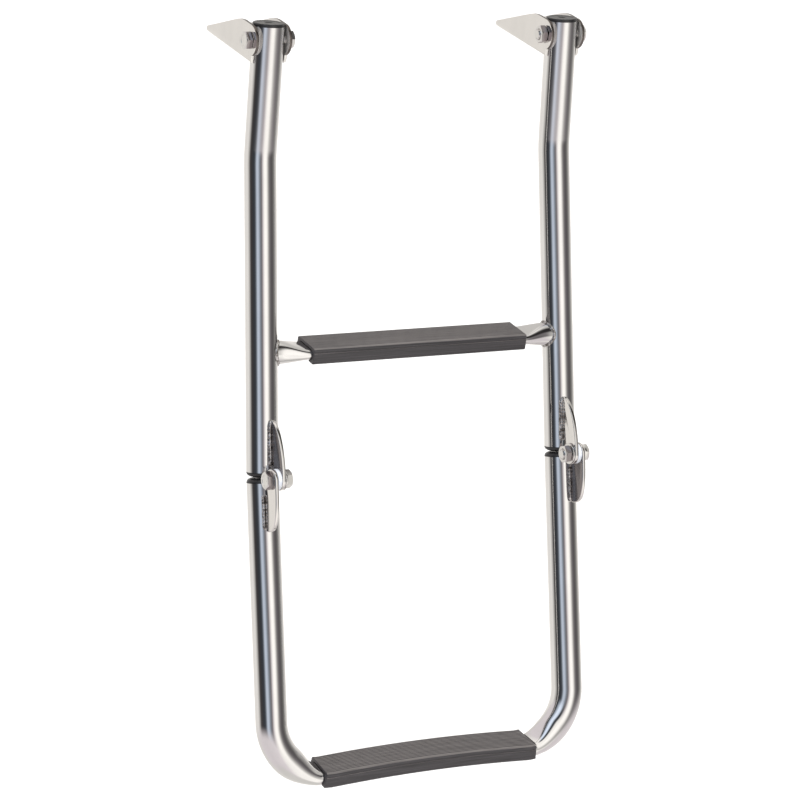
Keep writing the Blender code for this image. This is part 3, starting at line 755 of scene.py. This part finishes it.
def channel_section():
    outer = EAR_INSIDE + SHEET
    base = -PIVOT_HEIGHT
    top = 18.0 * MM
    bend = 3.0 * MM
    section = [(-outer, top)]
    section += arc((bend - outer, base + bend), bend, 2 * QUARTER, 3 * QUARTER, 10)
    section += arc((outer - bend, base + bend), bend, -QUARTER, 0.0, 10)
    section += [(outer, top), (EAR_INSIDE, top)]
    section += arc((outer - bend, base + bend), bend - SHEET, 0.0, -QUARTER, 6)
    section += arc((bend - outer, base + bend), bend - SHEET, 3 * QUARTER, 2 * QUARTER, 6)
    section += [(-EAR_INSIDE, top)]
    return [(x, -z) for x, z in section]


def notch_outline():
    half = EAR_INSIDE + 0.1 * MM
    radius = 14.0 * MM
    centre = -PIVOT_HEIGHT * math.tan(NECK_LEAN)
    reach = math.asin(half / radius)
    back = arc((0.0, centre), radius, QUARTER - reach, QUARTER + reach, 32)
    return [(half, -20.0 * MM)] + back + [(-half, -20.0 * MM)]


def bracket(label, side):
    """Bracket bent from sheet: two ears, a notched base, a bolt hole and two countersunk screw holes."""
    along = [Vector((0.0, y, 0.0)) for y in (-20.0 * MM, 80.0 * MM)]
    channel = swept_solid(along, Vector((1, 0, 0)), channel_section())
    plate = add_object(f"bracket_{label}", channel, PLATE_STEEL)
    add_cut(plate, plate_along_x(ear_outline(), -25.0 * MM, 25.0 * MM), operation="INTERSECT")
    levels = [Vector((0.0, 0.0, z)) for z in (-PIVOT_HEIGHT - 1.0 * MM, -PIVOT_HEIGHT + SHEET + 1.0 * MM)]
    add_cut(plate, swept_solid(levels, Vector((1, 0, 0)), notch_outline()))
    add_cut(plate, bolt_hole(25.0 * MM))
    screw_hole = 2.7 * MM
    sink = [(-5.0 * MM, screw_hole), (SHEET - 2.5 * MM, screw_hole), (SHEET + 0.5 * MM, 5.7 * MM)]
    upright = Matrix.Rotation(-QUARTER, 4, "Y")
    for y in (26.0 * MM, 52.0 * MM):
        place = Matrix.Translation((0.0, y, -PIVOT_HEIGHT)) @ upright
        add_cut(plate, turned(sink, sides=48), place)
    soften(plate, 0.6 * MM, 4)
    ear_foot = 3.5 * MM - PIVOT_HEIGHT

    def on_cut_edge(face):
        return abs(face.normal.x) < 0.2 and face.center.z > ear_foot

    def on_ear_inside(face):
        return face.normal.x * face.center.x < -0.99 * abs(face.center.x)

    # Painted shade: the ears' cut edges are coloured near black.
    new_finish(plate, EDGE_PAINTED_SHADE, on_cut_edge)
    # Painted light, on a rougher finish: the ears' insides are coloured lighter than the polished outside.
    new_finish(plate, INNER_MATTE_PAINTED_LIGHT, on_ear_inside)
    plate.matrix_world = Matrix.Translation((side * RAIL_X, 0.0, PIVOT_HEIGHT))
    return settle(plate, "brackets", "bracket_steel", f"deck_bracket_{label}")


# Fasteners


def hex_prism(low, high, half):
    corner = half / math.cos(math.pi / 6)
    angles = [math.pi / 3 * i for i in range(6)]
    return plate_along_x([(corner * math.cos(a), corner * math.sin(a)) for a in angles], low, high)


def chamfer_cone(low, high, both):
    """Turned envelope that rounds off a hexagon's corners at its outer face, or at both faces."""
    wide = HEX_HALF / math.cos(math.pi / 6) + 0.2 * MM
    narrow = HEX_HALF * 0.96
    fall = (wide - narrow) * math.tan(math.radians(30.0))
    profile = [(low, narrow if both else wide)]
    if both:
        profile.append((low + fall, wide))
    profile += [(high - fall, wide), (high, narrow)]
    return turned(profile)


def threaded_end(start, end):
    """Solid end of a bolt with a real helical thread, 1.25 mm pitch, and a chamfered tip."""
    builder = bmesh.new()
    pitch = 1.25 * MM
    depth = 0.42 * MM
    sides = 48
    rows = max(8, int((end - start) / (pitch / 10)))
    rings = []
    for row in range(rows + 1):
        x = start + (end - start) * row / rows
        ring = []
        for i in range(sides):
            angle = 2.0 * math.pi * i / sides
            phase = (x / pitch - i / sides) % 1.0
            groove = depth * (1.0 - abs(2.0 * phase - 1.0))
            radius = min(BOLT_RADIUS - groove, BOLT_RADIUS - 1.1 * (x - (end - 0.7 * MM)))
            ring.append(builder.verts.new((x, radius * math.cos(angle), radius * math.sin(angle))))
        rings.append(ring)
    skin(builder, rings)
    builder.faces.new(rings[0])
    builder.faces.new(rings[-1])
    return builder


def on_flank(face):
    """One of a hexagon's flats."""
    return abs(face.normal.x) < 0.1


def bolt_and_nut(prefix, place, grip, side, turn, body):
    """Hex bolt with its head outboard and its nut inboard, each just off the face it clamps.

    grip is (head face, nut face) outward from the middle, and turn spins the hexagons. The ends that
    face the ladder's left have their flats coloured darker: a painted dark reflection.
    """
    flip = Matrix.Rotation(math.pi, 4, "Z")
    stand = place @ (flip if side > 0 else Matrix()) @ Matrix.Rotation(turn, 4, "X")
    head_face, nut_face = grip

    head_end = head_face + HEAD_HEIGHT
    head_prism = hex_prism(-head_end, 0.05 * MM - head_face, HEX_HALF)
    head = add_object(f"{prefix}_hex_bolt", head_prism, FASTENER_STEEL)
    add_cut(head, chamfer_cone(head_face - 0.1 * MM, head_end, False), flip, "INTERSECT")
    recess = turned([(-head_end - 1.0 * MM, 4.4 * MM), (-head_end + 0.35 * MM, 4.1 * MM)])
    add_cut(head, recess)
    soften(head, 0.15 * MM)
    if side < 0:
        # Painted reflection: the head's flats are coloured darker.
        new_finish(head, FLANK_PAINTED_REFLECTION, on_flank)
    nut_end = nut_face + NUT_HEIGHT
    shank = turned([(-head_face - 0.1 * MM, BOLT_RADIUS), (nut_end - 1.0 * MM, BOLT_RADIUS)], sides=64)
    join(head, shank)
    join(head, threaded_end(nut_end - 1.05 * MM, nut_end + 1.2 * MM))
    head.matrix_world = stand
    settle(head, body, "fastener_steel", f"{prefix}_bolt")

    nut_prism = hex_prism(nut_face - 0.05 * MM, nut_end, HEX_HALF)
    nut = add_object(f"{prefix}_hex_nut", nut_prism, FASTENER_STEEL)
    add_cut(nut, chamfer_cone(nut_face - 0.05 * MM, nut_end, True), operation="INTERSECT")
    bore_radius = 4.25 * MM
    countersink = [(nut_end - 0.6 * MM, bore_radius), (nut_end + 0.2 * MM, 5.1 * MM)]
    bore = [(nut_face - 1.0 * MM, bore_radius)] + countersink
    add_cut(nut, turned(bore))
    soften(nut, 0.15 * MM)
    if side > 0:
        # Painted reflection: the nut's flats are coloured darker.
        new_finish(nut, FLANK_PAINTED_REFLECTION, on_flank)
    nut.matrix_world = stand
    settle(nut, body, "fastener_steel", f"{prefix}_nut")


def ring_on_bolt(name, place, low, high, radius, material, body, slot, node):
    ring = rounded_ring(low, high, BOLT_HOLE_RADIUS, radius, 0.25 * MM)
    return settle(add_object(name, turned(ring, closed=True), material, place), body, slot, node)


# Mid hinges


def hinge_outline(up):
    """Side outline about the bolt: a round nose, a straight back against the rail, a full curved front."""
    nose = 8.7 * MM
    back = HINGE_REACH - RAIL_RADIUS - 0.4 * MM  # clear of the rail, where the weld is
    length, power = UPPER_PLATE if up > 0 else LOWER_PLATE
    outline = []
    for front, along in arc((0.0, 0.0), 1.0, 0.0, math.pi, 40):
        outline.append((-front * (nose if front > 0.0 else back), -along * nose * up))
    steps = 48
    for i in range(steps, 0, -1):
        along = math.sin(QUARTER * i / steps)
        swell = max(0.0, 1.0 - along**power) ** (1.0 / power)
        outline.append((back - (back + nose) * swell, along * length * up))
    return outline


def path_length(path):
    return sum((b - a).length for a, b in zip(path, path[1:]))


def weld_bead(path, outward, radius, pitch, seed, closed=False):
    """A bead laid in overlapping ripples, half sunk in the metal. outward points away from the joint."""
    sides = 14
    builder = bmesh.new()
    frames = section_frames(path, outward, closed=closed)
    length = path_length(path)
    distance = 0.0
    rings = []
    for i, (centre, axes) in enumerate(zip(path, frames)):
        if i:
            distance += (centre - path[i - 1]).length
        phase = (distance / pitch) % 1.0
        scallop = 0.86 + 0.18 * math.sqrt(max(0.0, 1.0 - (2.0 * phase - 1.0) ** 2))
        wander = noise.noise(Vector((distance * 260.0, seed, 0.0)))
        swell = scallop * (1.0 + 0.10 * wander)
        if not closed:
            to_end = min(distance, length - distance)
            swell *= math.sqrt(min(1.0, max(0.04, to_end / (1.2 * radius))))
        shift = axes[1] * radius * 0.10 * noise.noise(Vector((distance * 180.0, seed + 7.0, 1.0)))
        angles = [2.0 * math.pi * k / sides for k in range(sides)]
        section = [(radius * swell * math.cos(a), radius * swell * math.sin(a)) for a in angles]
        rings.append(ring_at(builder, centre + shift, axes, section))
    skin(builder, rings, closed)
    if not closed:
        builder.faces.new(rings[0])
        builder.faces.new(rings[-1])
    return builder


def add_weld(name, builder, place, body):
    settle(add_object(name, builder, WELD, place, math.radians(60.0)), body, "polished_steel")


def plate_weld(low, high, rail_x, up):
    """Bead down one side of a hinge plate, round its end and up the other side, about the hinge bolt.

    low and high are the plate's faces, and rail_x tells where the rail's axis is at a height.
    """
    radius = 1.9 * MM if up > 0 else 1.45 * MM
    start = 9.5 * MM if up > 0 else 12.5 * MM
    turn_at = (UPPER_PLATE[0] if up > 0 else LOWER_PLATE[0]) - 4.3 * MM
    steps = 150
    turn_steps = 24
    middle = (low + high) / 2
    half = (high - low) / 2 + 0.7 * MM
    flat = [(middle - half, start + (turn_at - start) * i / steps) for i in range(steps + 1)]
    for k in range(1, turn_steps):
        angle = math.pi * k / turn_steps
        flat.append((middle - half * math.cos(angle), turn_at + half * math.sin(angle)))
    flat += [(middle + half, turn_at + (start - turn_at) * i / steps) for i in range(steps + 1)]
    path = []
    outward = []
    for x, along in flat:
        z = along * up
        offset = x - rail_x(z)
        y = HINGE_REACH - math.sqrt(RAIL_RADIUS**2 - offset**2)
        path.append(Vector((x, y - 0.2 * MM, z)))
        outward.append(Vector((offset * 0.3, -1.0, 0.0)).normalized())
    return weld_bead(path, outward, radius, 2.7 * MM, low * 1000.0)


def hinge_plate(section_name, label, place, plate_side, up, rail_x, body):
    low, high = sorted((plate_side * HINGE_NEAR, plate_side * HINGE_FAR))
    blank = plate_along_x(hinge_outline(up), low, high)
    plate = add_object(f"hinge_plate_{section_name}_{label}", blank, PLATE_STEEL)
    add_cut(plate, bolt_hole(15.0 * MM))
    soften(plate, 0.9 * MM, 4)
    # Painted reflection: the face toward the middle of the hinge is coloured dark, as if it mirrored dark
    # surroundings.
    new_finish(plate, PLATE_FACE_PAINTED_REFLECTION, lambda face: face.normal.x * plate_side < -0.9)
    plate.matrix_world = place
    settle(plate, body, "polished_steel", f"{section_name}_hinge_plate_{label}")
    add_weld(f"hinge_weld_{section_name}_{label}", plate_weld(low, high, rail_x, up), place, body)


def mid_hinge(label, side):
    """Two welded plates side by side, the upper one inboard, on one bolt with a nylon washer between."""
    bolt_centre = rail_point(side, MAIN_LENGTH) + Vector((0.0, -HINGE_REACH, 0.0))
    upper_place = UPPER @ Matrix.Translation(bolt_centre)
    lower_place = LOWER @ Matrix.Translation((side * HINGE_X, 0.0, 0.0))
    lean = math.tan(RAIL_SPLAY)
    hinge_plate("upper", label, upper_place, -side, 1, lambda z: -side * z * lean, "upper_section")
    hinge_plate("lower", label, lower_place, side, -1, lambda z: 0.0, "lower_section")
    half = HINGE_NEAR - 0.1 * MM
    ring_on_bolt(
        f"nylon_washer_{label}", upper_place, -half, half, WASHER_RADIUS, NYLON,
        "upper_section", "nylon", f"hinge_spacer_{label}",
    )
    head_face = HINGE_FAR + JOINT_GAP
    low, high = sorted((-side * head_face, -side * (head_face + WASHER)))
    ring_on_bolt(
        f"hinge_{label}_flat_washer", upper_place, low, high, WASHER_RADIUS, FASTENER_STEEL,
        "upper_section", "fastener_steel", f"hinge_{label}_washer",
    )
    grip = (head_face, head_face + WASHER + JOINT_GAP)
    bolt_and_nut(f"hinge_{label}", upper_place, grip, side, HINGE_HEX_TURN[label], "upper_section")


def step_weld(label, side):
    """Bead all round the foot of the step tube, along the saddle where it meets the rail."""
    centre = rail_point(side, STEP_DROP)
    path = []
    outward = []
    steps = 420
    radius = STEP_TUBE_RADIUS + 0.25 * MM
    for i in range(steps):
        angle = 2.0 * math.pi * i / steps
        y = radius * math.cos(angle)
        z = radius * math.sin(angle)
        reach = math.sqrt((RAIL_RADIUS + 0.2 * MM) ** 2 - y**2)
        path.append(centre + Vector((-side * reach - side * z * math.tan(RAIL_SPLAY), y, z)))
        outward.append(Vector((-side * 0.7, y / radius, z / radius)).normalized())
    bead = weld_bead(path, outward, 1.25 * MM, 1.5 * MM, side, True)
    add_weld(f"step_weld_{label}", bead, UPPER, "upper_section")


def build_ladder():
    for label, side in SIDE_NAMES:
        bracket(label, side)
        at_pivot = Matrix.Translation((side * RAIL_X, 0.0, PIVOT_HEIGHT))
        face = EAR_INSIDE + SHEET + JOINT_GAP
        bolt_and_nut(f"pivot_{label}", at_pivot, (face, face), side, PIVOT_HEX_TURN[label], "brackets")
        at_bush = UPPER @ Matrix.Translation(pivot_point(side))
        ring_on_bolt(
            f"bush_{label}", at_bush, -9.0 * MM, 9.0 * MM, 6.0 * MM, NYLON,
            "upper_section", "nylon", f"pivot_bush_{label}",
        )
        upper_rail(label, side)
        top_cap(label, side)
        down = rail_direction(side)
        rail_end = rail_point(side, MAIN_LENGTH - PLUG_FLANGE)
        rail_plug("upper", label, UPPER @ stand_along(rail_end, down), "upper_section")
        leg_top = Vector((side * HINGE_X, HINGE_REACH, -PLUG_FLANGE))
        rail_plug("lower", label, LOWER @ stand_along(leg_top, Vector((0, 0, 1))), "lower_section")
        mid_hinge(label, side)
        step_weld(label, side)
    first_step_tube()
    first_tread()
    lower_frame()
    lower_tread()


# Studio


def add_camera():
    """Stands off the ladder's front left, squared up to the upper section's rails."""
    pitch = math.radians(6.956)
    roll = math.radians(-0.801)
    distance = 2.64707
    target = Vector((-12.43, 14.43, -288.90)) * MM
    ahead = Vector(
        (
            math.sin(STUDIO_AZIMUTH) * math.cos(pitch),
            math.cos(STUDIO_AZIMUTH) * math.cos(pitch),
            -math.sin(pitch),
        )
    )
    right = Vector((math.cos(STUDIO_AZIMUTH), -math.sin(STUDIO_AZIMUTH), 0.0))
    up = right.cross(ahead)
    right, up = (
        right * math.cos(roll) + up * math.sin(roll),
        up * math.cos(roll) - right * math.sin(roll),
    )
    turn = Matrix((right, up, -ahead)).transposed().to_4x4()
    data = bpy.data.cameras.new("camera")
    data.lens = 148.85
    data.sensor_width = 36.0
    data.clip_end = 50.0
    camera = bpy.data.objects.new("camera", data)
    bpy.context.scene.collection.objects.link(camera)
    camera.matrix_world = UPPER @ Matrix.Translation(target - ahead * distance) @ turn
    bpy.context.scene.camera = camera


def grey(value, tint=(1.0, 1.0, 1.0)):
    """Linear colour of a display grey from 0 to 255."""
    level = value / 255.0
    linear = level / 12.92 if level < 0.04045 else ((level + 0.055) / 1.055) ** 2.4
    return tuple(linear * t for t in tint)


WARM = (1.035, 1.0, 0.955)
ROSE = (1.06, 0.98, 1.0)
COOL = (0.90, 1.0, 1.17)

# Pale and blue-grey panels with dark gaps: degrees round from behind the camera, display grey, tint.
LEVEL_PANELS = [
    (-180, 232, WARM), (-125, 216, WARM), (-106, 222, WARM), (-95, 205, WARM), (-84, 160, WARM),
    (-74, 75, ROSE), (-66, 56, ROSE), (-47, 55, COOL), (-38, 68, COOL), (-30, 130, COOL),
    (-24, 186, COOL), (-18, 196, COOL), (-9, 175, COOL), (-3, 132, COOL), (9, 107, ROSE),
    (15, 159, ROSE), (20, 199, ROSE), (28, 243, WARM), (37, 256, WARM), (47, 245, WARM),
    (54, 205, WARM), (58, 173, WARM), (68, 114, ROSE), (80, 88, ROSE), (92, 84, ROSE),
    (106, 108, WARM), (120, 149, WARM), (135, 191, WARM), (147, 214, WARM), (180, 232, WARM),
]
UPPER_PANELS = [
    (-180, 190, WARM), (-150, 200, WARM), (-110, 205, ROSE), (-82, 200, ROSE), (-70, 45, ROSE),
    (-55, 30, COOL), (-42, 160, COOL), (-24, 235, COOL), (-9, 225, COOL), (1, 70, COOL),
    (11, 60, COOL), (21, 240, WARM), (48, 248, WARM), (57, 130, WARM), (65, 40, ROSE),
    (76, 44, ROSE), (86, 170, WARM), (100, 185, WARM), (150, 190, WARM), (180, 190, WARM),
]
LOWER_PANELS = [
    (-180, 214, WARM), (-140, 207, WARM), (-100, 205, ROSE), (-60, 202, ROSE), (-15, 206, ROSE),
    (10, 212, ROSE), (28, 240, WARM), (50, 250, WARM), (66, 225, WARM), (85, 200, ROSE),
    (130, 205, ROSE), (180, 214, WARM),
]
OVERHEAD_GREY = 235
UNDERFOOT_GREY = 200
TIER_EDGES = (10.0, 28.0)  # degrees of elevation over which one tier turns into the next
CAP_EDGES = (55.0, 75.0)


def turned_vector(nodes, links, vector, axis, angle):
    turn = nodes.new("ShaderNodeVectorRotate")
    turn.rotation_type = axis
    turn.inputs["Angle"].default_value = angle
    links.new(vector, turn.inputs["Vector"])
    return turn.outputs["Vector"]


def calculated(nodes, links, operation, *values):
    """A math node on sockets and plain numbers."""
    node = nodes.new("ShaderNodeMath")
    node.operation = operation
    for socket, value in zip(node.inputs, values):
        if isinstance(value, bpy.types.NodeSocket):
            links.new(value, socket)
        else:
            socket.default_value = value
    return node.outputs[0]


def blended(nodes, links, elevation_sine, edges, first, second):
    """From the first colour to the second as the sine of the elevation passes two angles in degrees."""
    step = nodes.new("ShaderNodeMapRange")
    step.interpolation_type = "SMOOTHSTEP"
    step.inputs["From Min"].default_value = math.sin(math.radians(edges[0]))
    step.inputs["From Max"].default_value = math.sin(math.radians(edges[1]))
    links.new(elevation_sine, step.inputs["Value"])
    mixer = nodes.new("ShaderNodeMix")
    mixer.data_type = "RGBA"
    sockets = {socket.identifier: socket for socket in mixer.inputs}
    links.new(step.outputs["Result"], mixer.inputs["Factor"])
    links.new(first, sockets["A_Color"])
    links.new(second, sockets["B_Color"])
    return next(socket for socket in mixer.outputs if socket.identifier == "Result_Color")


def plain_colour(nodes, colour):
    node = nodes.new("ShaderNodeRGB")
    node.outputs[0].default_value = (*colour, 1.0)
    return node.outputs[0]


def surroundings(nodes, links):
    """Three tiers of panels round the rails' own axis, level with the ladder, above it and below it."""
    where = nodes.new("ShaderNodeTexCoord").outputs["Generated"]
    level = turned_vector(nodes, links, where, "X_AXIS", MAIN_LEAN)
    facing = turned_vector(nodes, links, level, "Z_AXIS", STUDIO_AZIMUTH)
    parts = nodes.new("ShaderNodeSeparateXYZ")
    links.new(facing, parts.inputs["Vector"])
    back = calculated(nodes, links, "MULTIPLY", parts.outputs["Y"], -1.0)
    angle = calculated(nodes, links, "ARCTAN2", parts.outputs["X"], back)
    share = calculated(nodes, links, "MULTIPLY_ADD", angle, 1.0 / (2.0 * math.pi), 0.5)

    def tier(panels):
        return ramp(nodes, links, share, [(a / 360.0 + 0.5, grey(v, tint)) for a, v, tint in panels])

    height = parts.outputs["Z"]
    depth = calculated(nodes, links, "MULTIPLY", height, -1.0)
    colour = blended(nodes, links, height, TIER_EDGES, tier(LEVEL_PANELS), tier(UPPER_PANELS))
    colour = blended(nodes, links, depth, TIER_EDGES, colour, tier(LOWER_PANELS))
    overhead = plain_colour(nodes, grey(OVERHEAD_GREY, WARM))
    colour = blended(nodes, links, height, CAP_EDGES, colour, overhead)
    underfoot = plain_colour(nodes, grey(UNDERFOOT_GREY, WARM))
    return blended(nodes, links, depth, CAP_EDGES, colour, underfoot)


def add_world():
    """The steel mirrors the studio panels, and the camera sees a plain pale background."""
    world = bpy.data.worlds.new("studio")
    bpy.context.scene.world = world
    world.use_nodes = True
    nodes = world.node_tree.nodes
    links = world.node_tree.links
    mirrored = nodes["Background"]
    links.new(surroundings(nodes, links), mirrored.inputs["Color"])
    mirrored.inputs["Strength"].default_value = 1.25
    plain = nodes.new("ShaderNodeBackground")
    plain.inputs["Color"].default_value = (0.94, 0.94, 0.94, 1.0)
    seen = nodes.new("ShaderNodeLightPath")
    either = nodes.new("ShaderNodeMixShader")
    links.new(seen.outputs["Is Camera Ray"], either.inputs[0])
    links.new(mirrored.outputs["Background"], either.inputs[1])
    links.new(plain.outputs["Background"], either.inputs[2])
    links.new(either.outputs["Shader"], nodes["World Output"].inputs["Surface"])


def add_floor():
    builder = bmesh.new()
    bmesh.ops.create_circle(builder, cap_ends=True, segments=96, radius=7.0)
    material, nodes, links, shader = new_material("pale_floor")
    mottle = noise_texture(nodes, links, (3, 3, 3), 2.0)
    stops = [(0.3, (0.90, 0.90, 0.895)), (0.7, (0.93, 0.93, 0.925))]
    links.new(ramp(nodes, links, mottle, stops), shader.inputs["Base Color"])
    shader.inputs["Roughness"].default_value = 0.9
    floor = add_object("floor", builder, material, Matrix.Translation((0.0, 0.0, CAD_BOX[0][2] - 0.5)))
    floor.visible_glossy = False


def add_lights():
    """One very soft overhead light, which brightens the floor and lights the black plastic."""
    data = bpy.data.lights.new("soft_overhead", "SUN")
    data.energy = 2.6
    data.angle = math.radians(70.0)
    light = bpy.data.objects.new("soft_overhead", data)
    bpy.context.scene.collection.objects.link(light)
    light.rotation_euler = (math.radians(18.0), math.radians(-12.0), 0.0)
    light.visible_glossy = False


build_ladder()
add_camera()
add_world()
add_floor()
add_lights()
bpy.context.scene.view_settings.view_transform = "Standard"
